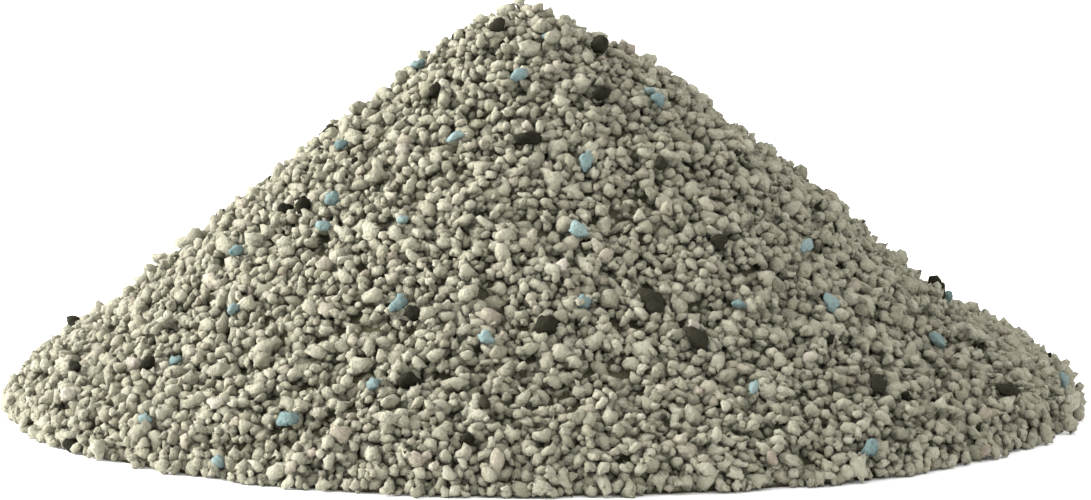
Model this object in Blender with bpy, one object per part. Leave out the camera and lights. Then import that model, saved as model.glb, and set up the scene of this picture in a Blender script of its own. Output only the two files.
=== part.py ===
"""A poured heap of granular cat litter: one packed cone of grey clay granules, with the larger
blue, charcoal and pale granules of its outer layer seated in it as loose pieces.

Metres, +Z up. The origin is on the floor, under the middle of the heap. The front is -Y.
"""

import math
import random

import bmesh
import bpy
from mathutils import Euler, Vector, noise

# The heap, as poured
FOOT_RADIUS = 0.100
REPOSE_SLOPE = 0.81  # rise over run of the poured flank, about 39 degrees
APEX_HEIGHT = 0.0820  # where the straight flanks would meet
PEAK_ROUNDING = 0.0078  # drop of the rounded top below that apex
PEAK_LEAN = -0.0058  # the top sits this far along X from the middle of the foot
PEAK_SPREAD = 0.028  # radius at which the lean has faded out
FULLER_SIDE = 0.0026  # extra reach of the flank that faces -X, at mid height
FULLER_FROM = (0.004, 0.024)  # radii between which that side fills out
FULLER_TO = (0.074, 0.096)  # radii between which it is back on the round foot
LEANER_SIDE = 0.0026  # how far the flank that faces +X is drawn in, low down
LEANER_FROM = (0.050, 0.068)
LEANER_TO = (0.080, 0.095)
FLARE_HEIGHT = 0.0033  # extra height of the run-out near the foot
FLARE_START = 0.078
FLARE_END = 0.093
TOE_WIDTH = 0.0055  # the last stretch, where the edge granules round down to the floor

# Its uneven surface
TURN_STEPS = 72
FLANK_STEPS = 24
TOE_STEPS = 5
SEAM_MERGE = 1e-6
SWELL_HEIGHT = 0.0008
SWELL_SIZE = 0.024
SWELL_LAYER = 0.0  # where in the noise the swells and the lumps are read
LUMP_LAYER = 0.1
LUMP_HEIGHT = 0.0005
LUMP_SIZE = 0.0058
OUTLINE_WANDER = 0.0014
OUTLINE_LOBES = 1.9

SETTLED_HEIGHT = 0.007  # below this the swells and lumps fade out towards the floor

# The loose granules
MM = 0.001
SEAT_GAP = 0.0003  # between a granule and its pocket
GRANULE_LUMP = 0.22  # depth of its lumps, as a share of its radius
GRANULE_LUMPS_ACROSS = 1.15
MIDDLE_WIDTH = (0.78, 0.95)  # its second width, as a share of its longest
LEAST_WIDTH = (0.66, 0.82)
ROCKED = 0.5  # how far it may rock from lying flat on the slope, in radians
PROUD = 0.0001  # height of a granule's middle over the heap's own surface
SLOPE_REACH = 0.001  # distance over which the slope under a granule is read
SEED = 27
NOISE_REACH = 40.0  # the stretch of noise from which each granule draws its own lumps

# Each granule: bearing in degrees from the front towards +X, distance from the axis in mm,
# and its longest half-size in mm
BLUE_GRANULES = (
    (-10, 21, 1.3), (49, 27, 1.4), (-27, 34, 1.2), (11, 38, 1.5), (-66, 38, 1.1),
    (-49, 48, 1.4), (-46, 53, 1.4), (-29, 51, 1.0), (-62, 60, 1.5), (7, 51, 1.5),
    (55, 58, 1.2), (-50, 70, 1.2), (-22, 66, 1.5), (49, 69, 1.5), (31, 67, 1.1),
    (-8, 72, 1.3), (-52, 81, 1.2), (-21, 81, 1.3), (65, 80, 1.4), (26, 83, 1.2),
    (-29, 91, 1.6), (-47, 95, 1.2), (80, 96, 1.3), (35, 97, 1.5),
    (112, 44, 1.4), (148, 71, 1.5), (-172, 36, 1.3), (-141, 84, 1.4), (-118, 58, 1.2),
)
DARK_GRANULES = (
    (-26, 9, 1.6), (56, 15, 1.8), (24, 25, 1.7), (-47, 25, 1.2), (-5, 34, 1.8),
    (31, 40, 1.3), (-56, 50, 1.6), (34, 55, 1.5), (-17, 80, 1.9), (-7, 85, 1.2),
    (17, 65, 2.2), (22, 73, 2.0), (94, 75, 1.9), (62, 93, 2.0), (43, 86, 1.6),
    (-69, 89, 1.3), (-56, 83, 1.3),
    (128, 60, 1.8), (171, 82, 1.5), (-155, 55, 1.9), (-104, 90, 1.4),
)
PALE_GRANULES = (
    (22, 70, 1.3), (3, 58, 1.2), (37, 78, 1.2), (-64, 94, 1.5), (-39, 90, 1.2),
    (154, 49, 1.3), (-128, 73, 1.2),
)


def smooth_step(start, end, value):
    share = min(max((value - start) / (end - start), 0.0), 1.0)
    return share * share * (3.0 - 2.0 * share)


def plain_height(radius):
    """Height of the even heap: a straight flank rounded at the top, flared and turned down at the foot."""
    flank = APEX_HEIGHT - math.hypot(REPOSE_SLOPE * radius, PEAK_ROUNDING)
    flare = FLARE_HEIGHT * smooth_step(FLARE_START, FLARE_END, radius)
    into_toe = min(max((radius - FOOT_RADIUS) / TOE_WIDTH + 1.0, 0.0), 1.0)
    return (flank + flare) * math.sqrt(1.0 - into_toe * into_toe)


def lean(radius):
    return PEAK_LEAN * (1.0 - smooth_step(0.0, PEAK_SPREAD, radius))


def side_shift(point, radius):
    """Shift along X that fills out the side facing -X and draws in the one facing +X. It is none at the
    peak, at the foot and on the front and back."""
    facing = point.x / max(radius, SEAM_MERGE)
    if facing < 0.0:
        most, start, end = FULLER_SIDE, FULLER_FROM, FULLER_TO
    else:
        most, start, end = LEANER_SIDE, LEANER_FROM, LEANER_TO
    reach = smooth_step(*start, radius) * (1.0 - smooth_step(*end, radius))
    return -most * facing * facing * reach


def noise_at(point, size, shift):
    return noise.noise(Vector((point.x, point.y, shift)) / size)


def uneven(point, radius):
    """Moves a point of the even heap by the swells, the lumps and the wandering outline."""
    height = SWELL_HEIGHT * noise_at(point, SWELL_SIZE, SWELL_LAYER)
    height += LUMP_HEIGHT * noise_at(point, LUMP_SIZE, LUMP_LAYER)
    if radius > 0.0:
        across = Vector((point.x, point.y, 0.0)).normalized()
        wander = OUTLINE_WANDER * noise.noise(across * OUTLINE_LOBES)
        point = point + across * wander * (radius / FOOT_RADIUS) ** 2
    settled = min(point.z / SETTLED_HEIGHT, 1.0)
    shift = lean(radius) + side_shift(point, radius)
    return Vector((point.x + shift, point.y, point.z + height * settled))


def heap_surface(bearing, radius):
    """The point of the heap's surface at a bearing in degrees and a distance from the axis."""
    turn = math.radians(bearing)
    flat = Vector((radius * math.sin(turn), -radius * math.cos(turn), plain_height(radius)))
    return uneven(flat, radius)


def principled(name, colour, roughness):
    material = bpy.data.materials.new(name)
    material.use_nodes = True
    shader = material.node_tree.nodes["Principled BSDF"]
    shader.inputs["Base Color"].default_value = (*colour, 1.0)
    shader.inputs["Roughness"].default_value = roughness
    shader.inputs["Metallic"].default_value = 0.0
    return material


def new_object(name, mesh, collection):
    made = bpy.data.objects.new(name, mesh)
    collection.objects.link(made)
    return made


def heap_mesh():
    """The packed cone: its profile spun about Z, closed by a flat base, then made uneven."""
    shape = bmesh.new()
    toe_start = FOOT_RADIUS - TOE_WIDTH
    radii = [toe_start * step / FLANK_STEPS for step in range(FLANK_STEPS)]
    toe_turns = [0.5 * math.pi * step / TOE_STEPS for step in range(TOE_STEPS + 1)]
    radii += [toe_start + TOE_WIDTH * math.sin(turn) for turn in toe_turns]
    profile = [shape.verts.new((radius, 0.0, plain_height(radius))) for radius in radii]
    edges = [shape.edges.new(pair) for pair in zip(profile, profile[1:])]
    bmesh.ops.spin(
        shape,
        geom=profile + edges,
        cent=(0.0, 0.0, 0.0),
        axis=(0.0, 0.0, 1.0),
        angle=2.0 * math.pi,
        steps=TURN_STEPS,
    )
    bmesh.ops.remove_doubles(shape, verts=shape.verts, dist=SEAM_MERGE)
    bmesh.ops.holes_fill(shape, edges=shape.edges, sides=TURN_STEPS)
    for vertex in shape.verts:
        vertex.co = uneven(vertex.co.copy(), math.hypot(vertex.co.x, vertex.co.y))
    bmesh.ops.recalc_face_normals(shape, faces=shape.faces)
    mesh = bpy.data.meshes.new("litter_heap")
    shape.to_mesh(mesh)
    shape.free()
    mesh.shade_smooth()
    return mesh


def granule_mesh(name, half_size, draw):
    """One tumbled granule: a ball with soft lumps, flattened a little and rounded."""
    shape = bmesh.new()
    bmesh.ops.create_icosphere(shape, subdivisions=2, radius=1.0)
    shift = Vector((draw.uniform(0.0, NOISE_REACH), draw.uniform(0.0, NOISE_REACH), 0.0))
    widths = Vector((1.0, draw.uniform(*MIDDLE_WIDTH), draw.uniform(*LEAST_WIDTH)))
    for vertex in shape.verts:
        lump = noise.noise(vertex.co * GRANULE_LUMPS_ACROSS + shift)
        vertex.co = vertex.co * (1.0 + GRANULE_LUMP * lump) * widths * half_size
    mesh = bpy.data.meshes.new(name)
    shape.to_mesh(mesh)
    shape.free()
    mesh.shade_smooth()
    return mesh


def pocket_mesh(name, granule):
    """The granule's own shape, grown by the gap it keeps to the clay around it."""
    shape = bmesh.new()
    shape.from_mesh(granule)
    shape.normal_update()
    for vertex in shape.verts:
        vertex.co += vertex.normal * SEAT_GAP
    mesh = bpy.data.meshes.new(name)
    shape.to_mesh(mesh)
    shape.free()
    return mesh


def outward_at(bearing, radius):
    """The heap's outward direction there, square to its slope downhill and sideways."""
    turned = math.degrees(SLOPE_REACH / radius)
    lower = heap_surface(bearing, radius + SLOPE_REACH)
    upper = heap_surface(bearing, radius - SLOPE_REACH)
    right = heap_surface(bearing + turned, radius)
    left = heap_surface(bearing - turned, radius)
    return (lower - upper).cross(right - left).normalized()


def seat_granules(kind, places, material, draw, cutters):
    """Puts each granule of one kind on the heap, lying to its slope, with a cutter for its pocket."""
    for number, (bearing, distance, half_size) in enumerate(places, start=1):
        name = f"{kind}_granule_{number:02d}"
        mesh = granule_mesh(name, half_size * MM, draw)
        mesh.materials.append(material)
        outward = outward_at(bearing, distance * MM)
        rock = draw.uniform(-ROCKED, ROCKED), draw.uniform(-ROCKED, ROCKED)
        spin = Euler((*rock, draw.uniform(0.0, 2.0 * math.pi))).to_matrix()
        granule = new_object(name, mesh, bpy.context.scene.collection)
        granule.location = heap_surface(bearing, distance * MM) + outward * PROUD
        granule.rotation_euler = (outward.to_track_quat("Z", "X").to_matrix() @ spin).to_euler()
        cutter = new_object(f"pocket_of_{name}", pocket_mesh(f"pocket_of_{name}", mesh), cutters)
        cutter.location = granule.location
        cutter.rotation_euler = granule.rotation_euler
        cutter.hide_render = True
        cutter.display_type = "WIRE"


for leftover in list(bpy.data.objects):
    bpy.data.objects.remove(leftover)

clay = principled("grey_clay", (0.36, 0.35, 0.28), 0.9)
blue = principled("blue_additive", (0.28, 0.55, 0.62), 0.7)
charcoal = principled("charcoal_mineral", (0.035, 0.032, 0.035), 0.75)
pale = principled("pale_clay", (0.62, 0.58, 0.50), 0.85)

cutters = bpy.data.collections.new("pocket_cutters")
bpy.context.scene.collection.children.link(cutters)
draw = random.Random(SEED)

heap = new_object("litter_heap", heap_mesh(), bpy.context.scene.collection)
heap.data.materials.append(clay)
seat_granules("blue", BLUE_GRANULES, blue, draw, cutters)
seat_granules("dark", DARK_GRANULES, charcoal, draw, cutters)
seat_granules("pale", PALE_GRANULES, pale, draw, cutters)

pockets = heap.modifiers.new("pockets", "BOOLEAN")
pockets.operation = "DIFFERENCE"
pockets.solver = "EXACT"
pockets.operand_type = "COLLECTION"
pockets.collection = cutters
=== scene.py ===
"""The looks of a poured heap of granular cat litter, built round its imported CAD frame."""

import math

import bpy
import numpy as np
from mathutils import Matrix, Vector
from mathutils.bvhtree import BVHTree


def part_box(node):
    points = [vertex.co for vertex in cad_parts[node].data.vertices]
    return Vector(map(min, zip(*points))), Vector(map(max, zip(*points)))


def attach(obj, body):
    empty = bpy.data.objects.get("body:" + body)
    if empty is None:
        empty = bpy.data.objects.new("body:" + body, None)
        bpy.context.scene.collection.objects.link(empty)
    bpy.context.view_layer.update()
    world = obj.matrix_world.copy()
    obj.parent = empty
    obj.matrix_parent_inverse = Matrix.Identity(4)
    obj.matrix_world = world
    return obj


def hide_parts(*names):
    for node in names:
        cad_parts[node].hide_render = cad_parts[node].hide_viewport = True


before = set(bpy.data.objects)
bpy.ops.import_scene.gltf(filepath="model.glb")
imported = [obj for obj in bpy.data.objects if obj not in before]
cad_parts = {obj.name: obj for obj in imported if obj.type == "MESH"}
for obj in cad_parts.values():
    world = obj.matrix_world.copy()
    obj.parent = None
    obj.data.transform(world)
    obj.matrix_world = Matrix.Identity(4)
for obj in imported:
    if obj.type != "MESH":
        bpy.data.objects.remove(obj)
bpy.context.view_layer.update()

# ---------------------------------------------------------------------------------------------
# The imported core: the body of the heap under its outer granules, the same grey clay, fine dust and
# crumbs pressed between them. Its colour is painted shade, far darker than the clay, for the dark of the
# gaps.

MM = 0.001
TURNS = 192
RISES = 72
LEAST_RISE = 0.004
LOOK_FROM = 0.3  # distance from which the CAD heap's surface is read, well outside it
POCKET_WINDOW = 3  # steps each way over which a middle value is taken, to leave the pockets out
CORE_DEPTH = 3.8 * MM
CORE_STEP = 2  # the core keeps every second point of the skin
CORE_GRAIN = 0.8 * MM
# The core's two colours are painted shade: far darker than the clay, so that the gaps between granules read
# dark.
CORE_SHADE_DARK = (0.05, 0.047, 0.026)
CORE_SHADE_PALE = (0.12, 0.113, 0.068)


def heap_directions(turns, rises):
    """Unit directions from the middle of the foot: a turn round Z, and a rise from level to upright."""
    return np.stack([np.cos(rises) * np.cos(turns), np.cos(rises) * np.sin(turns), np.sin(rises)], -1)


def middle_value(table, window):
    """Each entry becomes the median of those round it, wrapping in the turn and held at the ends."""
    padded = np.pad(np.pad(table, ((window, window), (0, 0)), "wrap"), ((0, 0), (window, window)), "edge")
    shifted = [
        padded[i : i + table.shape[0], j : j + table.shape[1]]
        for i in range(2 * window + 1)
        for j in range(2 * window + 1)
    ]
    return np.median(shifted, axis=0)


def normals_of(grid):
    """Outward unit normals of a grid of points, from its slopes along the turn and along the rise."""
    round_it = np.roll(grid, -1, 0) - np.roll(grid, 1, 0)
    upward = np.gradient(grid, axis=1)
    normals = np.cross(round_it, upward)
    normals[:, -1] = (0.0, 0.0, 1.0)
    return normals / np.linalg.norm(normals, axis=-1, keepdims=True)


def mesh_from(name, points, faces):
    """A smooth-shaded mesh from an array of points and an array of faces with equally many corners."""
    mesh = bpy.data.meshes.new(name)
    mesh.vertices.add(len(points))
    mesh.vertices.foreach_set("co", np.asarray(points, np.float32).ravel())
    mesh.loops.add(faces.size)
    mesh.loops.foreach_set("vertex_index", np.asarray(faces, np.int32).ravel())
    mesh.polygons.add(len(faces))
    mesh.polygons.foreach_set("loop_start", np.arange(0, faces.size, faces.shape[1], dtype=np.int32))
    mesh.update(calc_edges=True)
    mesh.shade_smooth()
    return mesh


def new_piece(name, mesh, material):
    """Puts a mesh in the scene as a piece of the heap, riding on its one body."""
    piece = bpy.data.objects.new(name, mesh)
    bpy.context.scene.collection.objects.link(piece)
    mesh.materials.append(material)
    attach(piece, "root")
    return piece


def closed_dome(grid):
    """Points and triangles of a grid by turn and rise, closed by a point on top and one in its floor."""
    turns, rises = grid.shape[0], grid.shape[1] - 1
    foot = grid[:, 0] * (1.0, 1.0, 0.0)
    points = np.concatenate([foot, grid[:, 1:rises].reshape(-1, 3), [grid[0, rises]], [(0.0, 0.0, 0.0)]])
    ring = np.arange(turns)
    ahead = np.roll(ring, -1)
    index = np.concatenate([ring[None], turns + np.arange(turns * (rises - 1)).reshape(turns, -1).T])
    top, bottom = len(points) - 2, len(points) - 1
    low, high = index[:-1], index[1:]
    walls = [
        np.stack([low[:, ring], low[:, ahead], high[:, ahead]], -1).reshape(-1, 3),
        np.stack([low[:, ring], high[:, ahead], high[:, ring]], -1).reshape(-1, 3),
        np.stack([index[-1][ring], index[-1][ahead], np.full(turns, top)], -1),
        np.stack([index[0][ahead], index[0][ring], np.full(turns, bottom)], -1),
    ]
    return points, np.concatenate(walls)


class Value:
    """A shader socket that takes part in sums: each operator adds the Math node that it names."""

    def __init__(self, shader, socket):
        self.shader = shader
        self.socket = socket

    def maths(self, operation, *others):
        return self.shader.node("ShaderNodeMath", {"operation": operation}, *others)

    def __add__(self, other):
        return self.maths("ADD", self, other)

    def __sub__(self, other):
        return self.maths("SUBTRACT", self, other)

    def __mul__(self, other):
        return self.maths("MULTIPLY", self, other)

    def __rsub__(self, other):
        return self.maths("SUBTRACT", other, self)

    __radd__ = __add__
    __rmul__ = __mul__


class Shader:
    """A material under construction, ending in a Principled surface."""

    def __init__(self, name):
        self.material = bpy.data.materials.new(name)
        self.material.use_nodes = True
        self.tree = self.material.node_tree
        self.surface = self.tree.nodes["Principled BSDF"]

    def join(self, socket, value):
        if isinstance(value, Value):
            self.tree.links.new(value.socket, socket)
        elif isinstance(value, tuple) and socket.type == "RGBA":
            socket.default_value = (*value, 1.0)
        else:
            socket.default_value = value

    def node(self, kind, settings=None, *inputs, output=0, **named):
        """Adds a node: its settings first, then its inputs by order or by name; gives one output."""
        made = self.tree.nodes.new(kind)
        for key, value in (settings or {}).items():
            setattr(made, key, value)
        for socket, value in zip(made.inputs, inputs):
            self.join(socket, value)
        for key, value in named.items():
            self.join(made.inputs[key.replace("_", " ")], value)
        return Value(self, made.outputs[output])

    def mix(self, share, first, second):
        """Colours mixed by a share."""
        made = self.tree.nodes.new("ShaderNodeMix")
        made.data_type = "RGBA"
        for socket, value in zip((made.inputs[0], made.inputs[6], made.inputs[7]), (share, first, second)):
            self.join(socket, value)
        return Value(self, made.outputs[2])

    def attribute(self, name):
        return self.node("ShaderNodeAttribute", {"attribute_name": name}, output=2)

    def noise(self, size, detail=2.0):
        """Even noise from 0 to 1 with features of that size in metres, fixed to the object."""
        place = self.node("ShaderNodeTexCoord", output=3)
        return self.node("ShaderNodeTexNoise", None, Vector=place, Scale=1.0 / size, Detail=detail)

    def finish(self, colour, roughness, height=None, depth=0.0, shine=0.12):
        self.join(self.surface.inputs["Base Color"], colour)
        self.join(self.surface.inputs["Roughness"], roughness)
        self.join(self.surface.inputs["Specular IOR Level"], shine)
        if height is not None:
            bump = self.node("ShaderNodeBump", None, Height=height, Distance=depth, Strength=1.0)
            self.join(self.surface.inputs["Normal"], bump)
        return self.material


heap_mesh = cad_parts["litter_heap"].data
heap_tree = BVHTree.FromPolygons(
    [v.co for v in heap_mesh.vertices], [p.vertices for p in heap_mesh.polygons]
)
turn_grid, rise_grid = np.meshgrid(
    np.arange(TURNS) * 2 * math.pi / TURNS, np.linspace(LEAST_RISE, math.pi / 2, RISES), indexing="ij"
)
skin_directions = heap_directions(turn_grid, rise_grid)
reaches = [
    LOOK_FROM - heap_tree.ray_cast(Vector(d * LOOK_FROM), Vector(-d))[3]
    for d in skin_directions.reshape(-1, 3)
]
skin = skin_directions * middle_value(np.reshape(reaches, (TURNS, RISES)), POCKET_WINDOW)[..., None]
skin_normals = normals_of(skin)

# The core's material is painted shade: the darkness of the gaps painted on the clay under the granules.
core_shader = Shader("packed_clay_painted_shade")
core_grain = core_shader.noise(CORE_GRAIN, 4.0)
core_colour = core_shader.mix(core_grain, CORE_SHADE_DARK, CORE_SHADE_PALE)
packed_shade = core_shader.finish(core_colour, 0.95, core_grain, CORE_GRAIN)
core_grid = skin - skin_normals * CORE_DEPTH
core_grid[..., 2] = np.maximum(core_grid[..., 2], 0.0)
core_points, core_triangles = closed_dome(core_grid[::CORE_STEP, ::CORE_STEP])
core_mesh = mesh_from("packed_core", core_points, core_triangles)
core = new_piece("packed_core", core_mesh, packed_shade)
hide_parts("litter_heap")

# ---------------------------------------------------------------------------------------------
# The grey granules: bentonite clay, crushed, tumbled and sieved, each a dry dusty rounded lump.
# They are dropped into a layer under the heap's skin and pushed apart until they lie settled.

LAYER = 4.2 * MM  # thickness of the layer that is made granule by granule
TYPICAL_WIDTH = 1.85 * MM
WIDTH_SPREAD = 0.30  # of the logarithm of the width
WIDTH_LIMITS = (0.9 * MM, 3.4 * MM)
FILLED = 0.60  # share of the layer's space that is clay
CLOSENESS = 0.93  # neighbours touch at this share of their widths
WIDTH_TRIALS = 200000  # widths drawn, of which as many are used as the layer holds
LEAST_SUNK = 0.6  # least depth of a granule's middle from both faces of the layer, in its own radii
SETTLING_STEPS = 60
LOOK_AGAIN = 5  # steps between two searches for neighbours
SEARCH_MARGIN = 0.2 * MM
NEAR_ENOUGH = 0.3 * MM  # gap up to which a pair is watched between two searches
PUSH = 0.25  # share of an overlap that each of the two granules gives way by in a step
SINK = 0.01 * MM  # how far each granule sinks inwards in a step
STAND_PROUD = 0.8  # how far a granule's middle may rise over the skin, in its own radii
HOLLOW_SIZE = 6.0 * MM  # from one hollow to the next
HOLLOW_DEPTH = 0.8 * MM
PROUDEST = 0.6 * MM  # how far a granule may stand out where the heap is neither hollow nor crest
ROLLED_AWAY = 0.10  # share of the topmost granules that are missing, with a gap in their place
TOPMOST = 0.9 * MM  # depth down to which granules count as topmost
TILT = 0.6
PAINTED_SHADE_DEPTH = 2.6 * MM  # depth at which the painted shade of a granule's deeper points is full

draw = np.random.default_rng(2024)


def near_pairs(places, reach):
    """Every pair of places closer than reach: space is cut into cells that wide, the places are sorted by
    cell, and each cell is matched with itself and with half of the cells round it."""
    cells = np.floor((places - places.min(0)) / reach).astype(np.int64) + 1
    span = cells.max(0) + 2
    keys = (cells[:, 0] * span[1] + cells[:, 1]) * span[2] + cells[:, 2]
    order = np.argsort(keys, kind="stable")
    ordered = keys[order]
    firsts, seconds = [], []
    for step in np.ndindex(3, 3, 3):
        shift = ((step[0] - 1) * span[1] + step[1] - 1) * span[2] + step[2] - 1
        if shift < 0:
            continue
        start = np.searchsorted(ordered, ordered + shift, "left")
        count = np.searchsorted(ordered, ordered + shift, "right") - start
        first = np.repeat(np.arange(len(order)), count)
        second = np.arange(count.sum()) + np.repeat(start - np.cumsum(count) + count, count)
        keep = (first < second) if shift == 0 else slice(None)
        firsts.append(order[first[keep]])
        seconds.append(order[second[keep]])
    first, second = np.concatenate(firsts), np.concatenate(seconds)
    close = ((places[first] - places[second]) ** 2).sum(1) < reach * reach
    return first[close], second[close]


def hollows(points, size, draw, waves=16):
    """A gently uneven field of about unit height: a sum of plane waves of one length, each in a random
    direction and at a random phase."""
    ways = draw.normal(size=(waves, 3))
    ways *= 2 * math.pi / size / np.linalg.norm(ways, axis=1, keepdims=True)
    return np.sin(points @ ways.T + draw.uniform(0.0, 2 * math.pi, waves)).sum(-1) * math.sqrt(2 / waves)


def spread_over(grid, normals, count, draw):
    """Points and normals drawn evenly over a grid's surface, each cell by its area."""
    ahead, ahead_normals = np.roll(grid, -1, 0), np.roll(normals, -1, 0)
    corners = [grid[:, :-1], ahead[:, :-1], ahead[:, 1:], grid[:, 1:]]
    leanings = [normals[:, :-1], ahead_normals[:, :-1], ahead_normals[:, 1:], normals[:, 1:]]
    areas = np.linalg.norm(np.cross(corners[2] - corners[0], corners[3] - corners[1]), axis=-1).ravel()
    cell = np.searchsorted(np.cumsum(areas) / areas.sum(), draw.random(count))
    u, v = draw.random(count)[:, None], draw.random(count)[:, None]
    weights = ((1 - u) * (1 - v), u * (1 - v), u * v, (1 - u) * v)
    places = sum(w * c.reshape(-1, 3)[cell] for w, c in zip(weights, corners))
    outward = sum(w * c.reshape(-1, 3)[cell] for w, c in zip(weights, leanings))
    return places, outward / np.linalg.norm(outward, axis=1, keepdims=True)


def skin_area(grid):
    ahead = np.roll(grid, -1, 0)
    across = np.cross(ahead[:, 1:] - grid[:, :-1], grid[:, 1:] - ahead[:, :-1])
    return 0.5 * np.linalg.norm(across, axis=-1).sum()


def settle(places, radii, roots, outward, held, held_radii):
    """Pushes overlapping granules apart, lets them sink inwards, and keeps each in the layer and above the
    floor. The held granules stay where they are."""
    free = len(places)
    everyone = np.concatenate([places, held])
    sizes = np.concatenate([radii, held_radii]) * CLOSENESS
    reach = 2.0 * sizes.max() + SEARCH_MARGIN
    for step in range(SETTLING_STEPS):
        if step % LOOK_AGAIN == 0:
            first, second = near_pairs(everyone, reach)
            touching = sizes[first] + sizes[second]
            gaps = np.linalg.norm(everyone[first] - everyone[second], axis=1) - touching
            near = gaps < NEAR_ENOUGH
            first, second = first[near], second[near]
            touching = sizes[first] + sizes[second]
        apart = everyone[second] - everyone[first]
        distance = np.linalg.norm(apart, axis=1) + 1e-9
        push = PUSH * np.maximum(touching - distance, 0.0) / distance
        moves = apart * push[:, None]
        for axis in range(3):
            change = np.bincount(second, moves[:, axis], len(everyone))
            change -= np.bincount(first, moves[:, axis], len(everyone))
            everyone[:free, axis] += change[:free]
        height = ((everyone[:free] - roots) * outward).sum(1) - SINK
        allowed = np.clip(height, radii * LEAST_SUNK - LAYER, radii * STAND_PROUD)
        everyone[:free] += outward * (allowed - height - SINK)[:, None]
        everyone[:free, 2] = np.maximum(everyone[:free, 2], radii)
    return everyone[:free]


def fold_octahedron(steps):
    """A square grid folded over an octahedron and blown up to a ball. Over the square's u and v,
    x = u, y = v and z = 1 - |u| - |v|, and where z is negative the corner folds under. Gives the unit
    directions, the faces, and each face corner's place in the square."""
    line = np.linspace(-1.0, 1.0, steps + 1)
    u, v = np.meshgrid(line, line, indexing="ij")
    z = 1.0 - np.abs(u) - np.abs(v)
    x = np.where(z < 0, (1.0 - np.abs(v)) * np.where(u < 0, -1.0, 1.0), u)
    y = np.where(z < 0, (1.0 - np.abs(u)) * np.where(v < 0, -1.0, 1.0), v)
    ball = np.sin(np.stack([x, y, z], -1) * math.pi / 2).reshape(-1, 3)
    ball /= np.linalg.norm(ball, axis=1, keepdims=True)
    _, kept, welded = np.unique(np.round(ball, 5), axis=0, return_index=True, return_inverse=True)
    corner = np.arange((steps + 1) ** 2).reshape(steps + 1, steps + 1)
    quads = np.stack([corner[:-1, :-1], corner[1:, :-1], corner[1:, 1:], corner[:-1, 1:]], -1).reshape(-1, 4)
    square = np.stack([u.ravel(), v.ravel()], -1)[quads] * 0.5 + 0.5
    return ball[kept], welded.reshape(-1)[quads], square


def crumb_shapes(directions, count, draw, lumps=7, crispness=16.0, roughness=0.18):
    """Many crumbs over the same directions. Each is a ball with smaller balls stuck in it: the radius in
    a direction d is the soft greatest, (sum of r^p)^(1/p), of the distances r at which d leaves each
    ball, r = d.c + sqrt(R^2 - c.c + (d.c)^2) for a ball of radius R round c. The whole is roughened point
    by point and pressed to three unequal widths."""
    centres = draw.normal(size=(count, lumps, 3))
    centres *= draw.uniform(0.34, 0.66, (count, lumps, 1)) / np.linalg.norm(centres, axis=-1, keepdims=True)
    sizes = draw.uniform(0.26, 0.52, (count, lumps, 1))
    along = centres @ directions.T
    inside = sizes**2 - (centres**2).sum(-1, keepdims=True) + along**2
    leaves = np.where(inside > 0.0, np.maximum(along + np.sqrt(np.maximum(inside, 0.0)), 0.0), 0.0)
    middle = draw.uniform(0.54, 0.68, (count, 1))
    radii = ((leaves**crispness).sum(1) + middle**crispness) ** (1.0 / crispness)
    radii *= 1.0 + np.clip(draw.normal(0.0, roughness, radii.shape), -2 * roughness, 2 * roughness)
    radii /= radii.mean(1, keepdims=True)
    longest, middling, shortest = (1.05, 1.40), (0.86, 1.06), (0.68, 0.92)
    widths = np.stack([draw.uniform(*limits, count) for limits in (longest, middling, shortest)], -1)
    widths /= widths.prod(1, keepdims=True) ** (1 / 3)
    return radii[..., None] * directions * widths[:, None]


def lying_frames(outward, tilt, draw):
    """A rotation for each granule: its flat side to the slope, tipped by a random tilt, at any spin."""
    up = outward + draw.normal(size=outward.shape) * tilt
    up /= np.linalg.norm(up, axis=1, keepdims=True)
    side = np.cross(up, draw.normal(size=outward.shape))
    side /= np.linalg.norm(side, axis=1, keepdims=True)
    return np.stack([side, np.cross(up, side), up], 1)


def skin_over(places):
    """The skin's nearest grid point to each place, and its normal."""
    apart = np.linalg.norm(places[:, None] - skin.reshape(1, -1, 3), axis=-1)
    nearest = apart.argmin(1)
    return skin.reshape(-1, 3)[nearest], skin_normals.reshape(-1, 3)[nearest]


def granules(name, ball, shapes, places, radii, roots, outward, draw, **facts):
    """One mesh of many granules, each with its shape, size, place and rotation. Each fact is a value for
    every granule, kept as an attribute; how deep a point lies under the skin is another, from 0 to 1,
    which the materials turn into painted shade. Each granule has its own square in the UV map."""
    directions, face_corners, square = ball
    count, per = len(places), len(directions)
    bodies = shapes[draw.integers(0, len(shapes), count)]
    frames = lying_frames(outward, TILT, draw)
    points = np.einsum("nmc,ncd->nmd", bodies, frames) * radii[:, None, None] + places[:, None]
    points[..., 2] -= np.minimum(points[..., 2].min(1), 0.0)[:, None]
    faces = face_corners[None] + (np.arange(count) * per)[:, None, None]
    mesh = mesh_from(name, points.reshape(-1, 3), faces.reshape(-1, 4))
    facts = {key: np.repeat(values, per) for key, values in facts.items()}
    # How deep each point lies under the skin, kept as "buried": the materials darken the deeper points with
    # it as painted shade.
    depths = np.einsum("nmc,nc->nm", roots[:, None] - points, outward)
    facts["buried"] = np.clip(depths.ravel() / PAINTED_SHADE_DEPTH, 0.0, 1.0)
    for key, values in facts.items():
        mesh.attributes.new(key, "FLOAT", "POINT").data.foreach_set("value", values.astype(np.float32))
    across = math.ceil(math.sqrt(count))
    cell = np.stack([np.arange(count) % across, np.arange(count) // across], -1)
    uv = (cell[:, None, None] + 0.04 + 0.92 * square[None]) / across
    mesh.uv_layers.new(name="OFBake").data.foreach_set("uv", uv.astype(np.float32).ravel())
    return mesh


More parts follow.
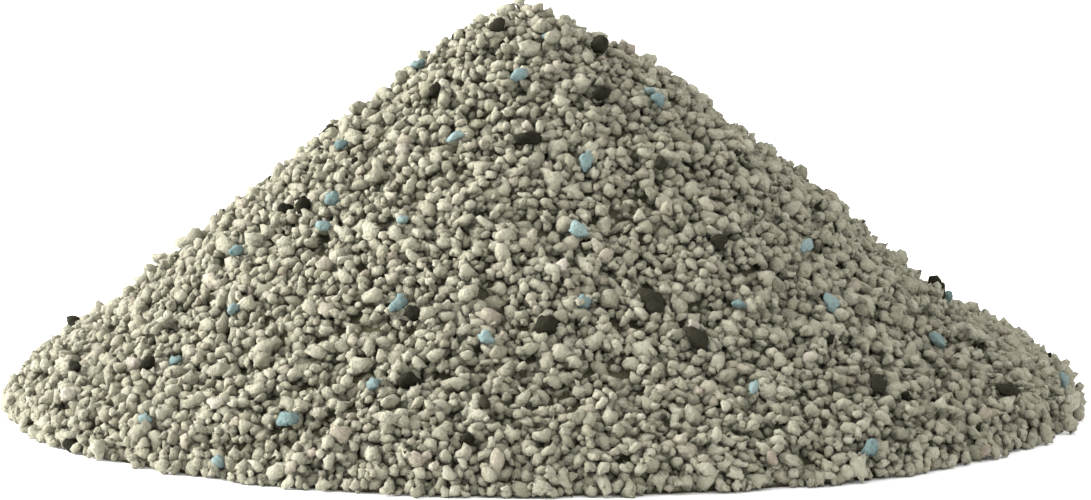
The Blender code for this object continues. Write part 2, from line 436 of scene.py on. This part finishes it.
coloured = {
    kind: sorted(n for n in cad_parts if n.startswith(kind)) for kind in ("blue", "dark", "pale")
}
coloured_boxes = {n: [np.array(c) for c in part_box(n)] for names in coloured.values() for n in names}
held_places = np.array([0.5 * (low + high) for low, high in coloured_boxes.values()])
held_radii = np.array([0.5 * (high - low).mean() for low, high in coloured_boxes.values()])

width_logarithms = draw.normal(0.0, WIDTH_SPREAD, WIDTH_TRIALS)
widths_on_trial = np.clip(TYPICAL_WIDTH * np.exp(width_logarithms), *WIDTH_LIMITS)
granule_space = (math.pi / 6) * (widths_on_trial**3).mean()
clay_count = int(skin_area(skin) * LAYER * FILLED / granule_space)
clay_radii = widths_on_trial[:clay_count] / 2
clay_roots, clay_outward = spread_over(skin, skin_normals, clay_count, draw)
least_depths = LEAST_SUNK * clay_radii
depths = draw.uniform(0.0, 1.0, clay_count) * (LAYER - 2.0 * least_depths) + least_depths
clay_places = settle(
    clay_roots - clay_outward * depths[:, None], clay_radii, clay_roots, clay_outward, held_places, held_radii
)
clay_depths = ((clay_roots - clay_places) * clay_outward).sum(1) - clay_radii
cleared = HOLLOW_DEPTH * hollows(clay_roots, HOLLOW_SIZE, draw) - PROUDEST
stayed = (clay_depths > cleared) & ((clay_depths > TOPMOST) | (draw.random(clay_count) > ROLLED_AWAY))
clay_places, clay_radii, clay_outward = clay_places[stayed], clay_radii[stayed], clay_outward[stayed]
clay_roots, clay_depths = clay_roots[stayed], clay_depths[stayed]
clay_count = len(clay_places)

# The clay's colours, each from the darkest granule's to the palest's, and the painted shade of its deeper
# points.
CLAY_BODY = ((0.315, 0.300, 0.214), (0.612, 0.592, 0.465))
CLAY_IRON = ((0.31, 0.245, 0.19), (0.60, 0.505, 0.415))
CLAY_MOTTLE = ((0.225, 0.216, 0.152), (0.47, 0.455, 0.35))
CLAY_PAINTED_SHADE = (0.19, 0.18, 0.115)
MOTTLE_SIZE = 0.7 * MM
GRAIN_SIZE = 0.22 * MM
MOTTLE_SHARE = 0.6
PAINTED_SHADE_SHARE = 0.28
CLAY_RELIEF = 0.62 * MM

clay_shader = Shader("grey_clay")
tone = clay_shader.attribute("tone")
warmth = clay_shader.attribute("warmth")
mottle = clay_shader.noise(MOTTLE_SIZE, 3.0)
grain = clay_shader.noise(GRAIN_SIZE, 3.0)
buried = clay_shader.attribute("buried")
body_colour = clay_shader.mix(tone, *CLAY_BODY)
tinted = clay_shader.mix(warmth, body_colour, clay_shader.mix(tone, *CLAY_IRON))
mottled = clay_shader.mix(mottle * MOTTLE_SHARE, tinted, clay_shader.mix(tone, *CLAY_MOTTLE))
# Painted shade: the points that lie deep under the skin turn towards a dark olive, as the crevices would be
# shaded.
shade = clay_shader.mix(buried * PAINTED_SHADE_SHARE, mottled, CLAY_PAINTED_SHADE)
grey_clay = clay_shader.finish(shade, 0.92, grain * 1.2 + mottle * 1.9, CLAY_RELIEF)

OUTER_STEPS = 6
UNDER_STEPS = 4
OUTER_SHAPES = 64
UNDER_SHAPES = 32
OUTER_DEPTH = 1.3 * MM  # granules whose tops lie deeper than this get the plainer shapes
outer_ball = fold_octahedron(OUTER_STEPS)
under_ball = fold_octahedron(UNDER_STEPS)
outer_shapes = crumb_shapes(outer_ball[0], OUTER_SHAPES, draw)
under_shapes = crumb_shapes(under_ball[0], UNDER_SHAPES, draw)
clay_tones = np.clip(draw.normal(0.5, 0.15, clay_count), 0.0, 1.0)
clay_warmths = np.clip(draw.normal(-0.28, 0.36, clay_count), 0.0, 1.0)

# A few of the granules near the top of the layer are coloured ones, more of them at the back.
SCATTERED = {"blue": 16, "dark": 46, "pale": 14}
SCATTER_DEPTH = 0.5 * MM
LIKELIER_BEHIND = 2.5
by_side = np.where(clay_places[:, 1] > 0.0, LIKELIER_BEHIND, 1.0)
likely = np.where(clay_depths < SCATTER_DEPTH, by_side, 0.0)
chosen = draw.choice(clay_count, sum(SCATTERED.values()), replace=False, p=likely / likely.sum())
scattered = dict(zip(SCATTERED, np.split(chosen, np.cumsum(list(SCATTERED.values()))[:-1])))
is_clay = ~np.isin(np.arange(clay_count), chosen)
outer = is_clay & (clay_depths < OUTER_DEPTH)
under = is_clay & ~outer
by_width = np.argsort(clay_radii, kind="stable")


def clay_piece(name, members, ball, shapes):
    mesh = granules(
        name,
        ball,
        shapes,
        clay_places[members],
        clay_radii[members],
        clay_roots[members],
        clay_outward[members],
        draw,
        tone=clay_tones[members],
        warmth=clay_warmths[members],
    )
    return new_piece(name, mesh, grey_clay)


outer_order = by_width[outer[by_width]]
for name, members in zip(
    ("fine_granules", "small_granules", "medium_granules", "coarse_granules"), np.array_split(outer_order, 4)
):
    clay_piece(name, members, outer_ball, outer_shapes)
under_order = by_width[under[by_width]]
for name, members in zip(("under_fine_granules", "under_coarse_granules"), np.array_split(under_order, 2)):
    clay_piece(name, members, under_ball, under_shapes)

# ---------------------------------------------------------------------------------------------
# The coloured granules: blue additive beads, charcoal mineral bits and pale clay, loose among the
# grey ones. One lies where each CAD granule lies, and smaller ones take the place of some grey ones.

COLOURED_STEPS = 10
COLOURED_SHAPES = 24
COLOURED_ROUGHNESS = 0.10
COLOURED_RELIEF = 0.45 * MM
coloured_ball = fold_octahedron(COLOURED_STEPS)


def coloured_piece(kind, material):
    names = coloured[kind]
    boxes = np.array([coloured_boxes[n] for n in names])
    places = np.concatenate([boxes.mean(1), clay_places[scattered[kind]]])
    radii = np.concatenate([0.5 * (boxes[:, 1] - boxes[:, 0]).mean(1), clay_radii[scattered[kind]]])
    shapes = crumb_shapes(coloured_ball[0], COLOURED_SHAPES, draw, roughness=COLOURED_ROUGHNESS)
    roots, outward = skin_over(places)
    mesh = granules(
        f"{kind}_granules",
        coloured_ball,
        shapes,
        places,
        radii,
        roots,
        outward,
        draw,
        tone=draw.random(len(places)),
    )
    piece = new_piece(f"{kind}_granules", mesh, material)
    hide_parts(*names)


def speckled(shader, darkest, palest, shade_colour, roughness, speck, shine=0.12):
    """A dull surface that runs between two colours by its specks and by the granule's own tone, and
    turns towards a third, dark one where it lies deeper: painted shade."""
    specks = shader.noise(speck, 3.0)
    share = specks * 0.7 + shader.attribute("tone") * 0.5 - 0.1
    # Deeper points turn towards the third colour, which is painted shade.
    colour = shader.mix(shader.attribute("buried") * 0.8, shader.mix(share, darkest, palest), shade_colour)
    return shader.finish(colour, roughness, specks, COLOURED_RELIEF, shine)


# The third colour of each is painted shade, for the points that lie deep among the other granules.
blue_additive = speckled(
    Shader("blue_additive"), (0.082, 0.13, 0.127), (0.235, 0.307, 0.296), (0.05, 0.075, 0.072), 0.75, 0.6 * MM
)
charcoal_mineral = speckled(
    Shader("charcoal_mineral"),
    (0.004, 0.004, 0.002),
    (0.034, 0.031, 0.020),
    (0.004, 0.004, 0.002),
    0.85,
    0.5 * MM,
    0.05,
)
pale_clay = speckled(
    Shader("pale_clay"), (0.28, 0.256, 0.205), (0.395, 0.367, 0.308), (0.15, 0.135, 0.10), 0.9, 0.6 * MM
)
coloured_piece("blue", blue_additive)
coloured_piece("dark", charcoal_mineral)
coloured_piece("pale", pale_clay)

# ---------------------------------------------------------------------------------------------
# The stage: a near-white floor, a broad key light low on the left, pale light from all round, and
# the camera low in front.

FLOOR_HALF = 3.0
floor_mesh = bpy.data.meshes.new("floor")
floor_mesh.from_pydata(
    [
        (-FLOOR_HALF, -FLOOR_HALF, 0.0),
        (FLOOR_HALF, -FLOOR_HALF, 0.0),
        (FLOOR_HALF, FLOOR_HALF, 0.0),
        (-FLOOR_HALF, FLOOR_HALF, 0.0),
    ],
    [],
    [(0, 1, 2, 3)],
)
floor = bpy.data.objects.new("floor", floor_mesh)
bpy.context.scene.collection.objects.link(floor)
floor_shader = Shader("pale_floor")
floor_mesh.materials.append(floor_shader.finish((0.97, 0.97, 0.97), 0.8))

KEY_STRENGTH = 8.9
KEY_SOFTNESS = math.radians(45.0)
KEY_FROM = Vector((-0.94, 0.12, 0.34))
ROOM_STRENGTH = 1.58


def soft_light(name, strength, softness, towards_it):
    """A distant light of a given angular width, shining from the given direction."""
    light = bpy.data.objects.new(name, bpy.data.lights.new(name, "SUN"))
    light.data.energy = strength
    light.data.angle = softness
    light.rotation_euler = towards_it.to_track_quat("Z", "Y").to_euler()
    bpy.context.scene.collection.objects.link(light)


soft_light("key_light", KEY_STRENGTH, KEY_SOFTNESS, KEY_FROM)

world = bpy.data.worlds.new("pale_room")
world.use_nodes = True
world.node_tree.nodes["Background"].inputs["Color"].default_value = (1.0, 1.0, 1.0, 1.0)
world.node_tree.nodes["Background"].inputs["Strength"].default_value = ROOM_STRENGTH
bpy.context.scene.world = world

CAMERA_RISE = math.radians(8.0)
CAMERA_DISTANCE = 1.20
CAMERA_LENS = 215.9
AIM = Vector((0.0001, 0.0, 0.0287))
camera = bpy.data.objects.new("camera", bpy.data.cameras.new("camera"))
camera.data.lens = CAMERA_LENS
camera.location = AIM + CAMERA_DISTANCE * Vector((0.0, -math.cos(CAMERA_RISE), math.sin(CAMERA_RISE)))
camera.rotation_euler = (math.pi / 2 - CAMERA_RISE, 0.0, 0.0)
bpy.context.scene.collection.objects.link(camera)
bpy.context.scene.camera = camera
bpy.context.scene.view_settings.view_transform = "Standard"
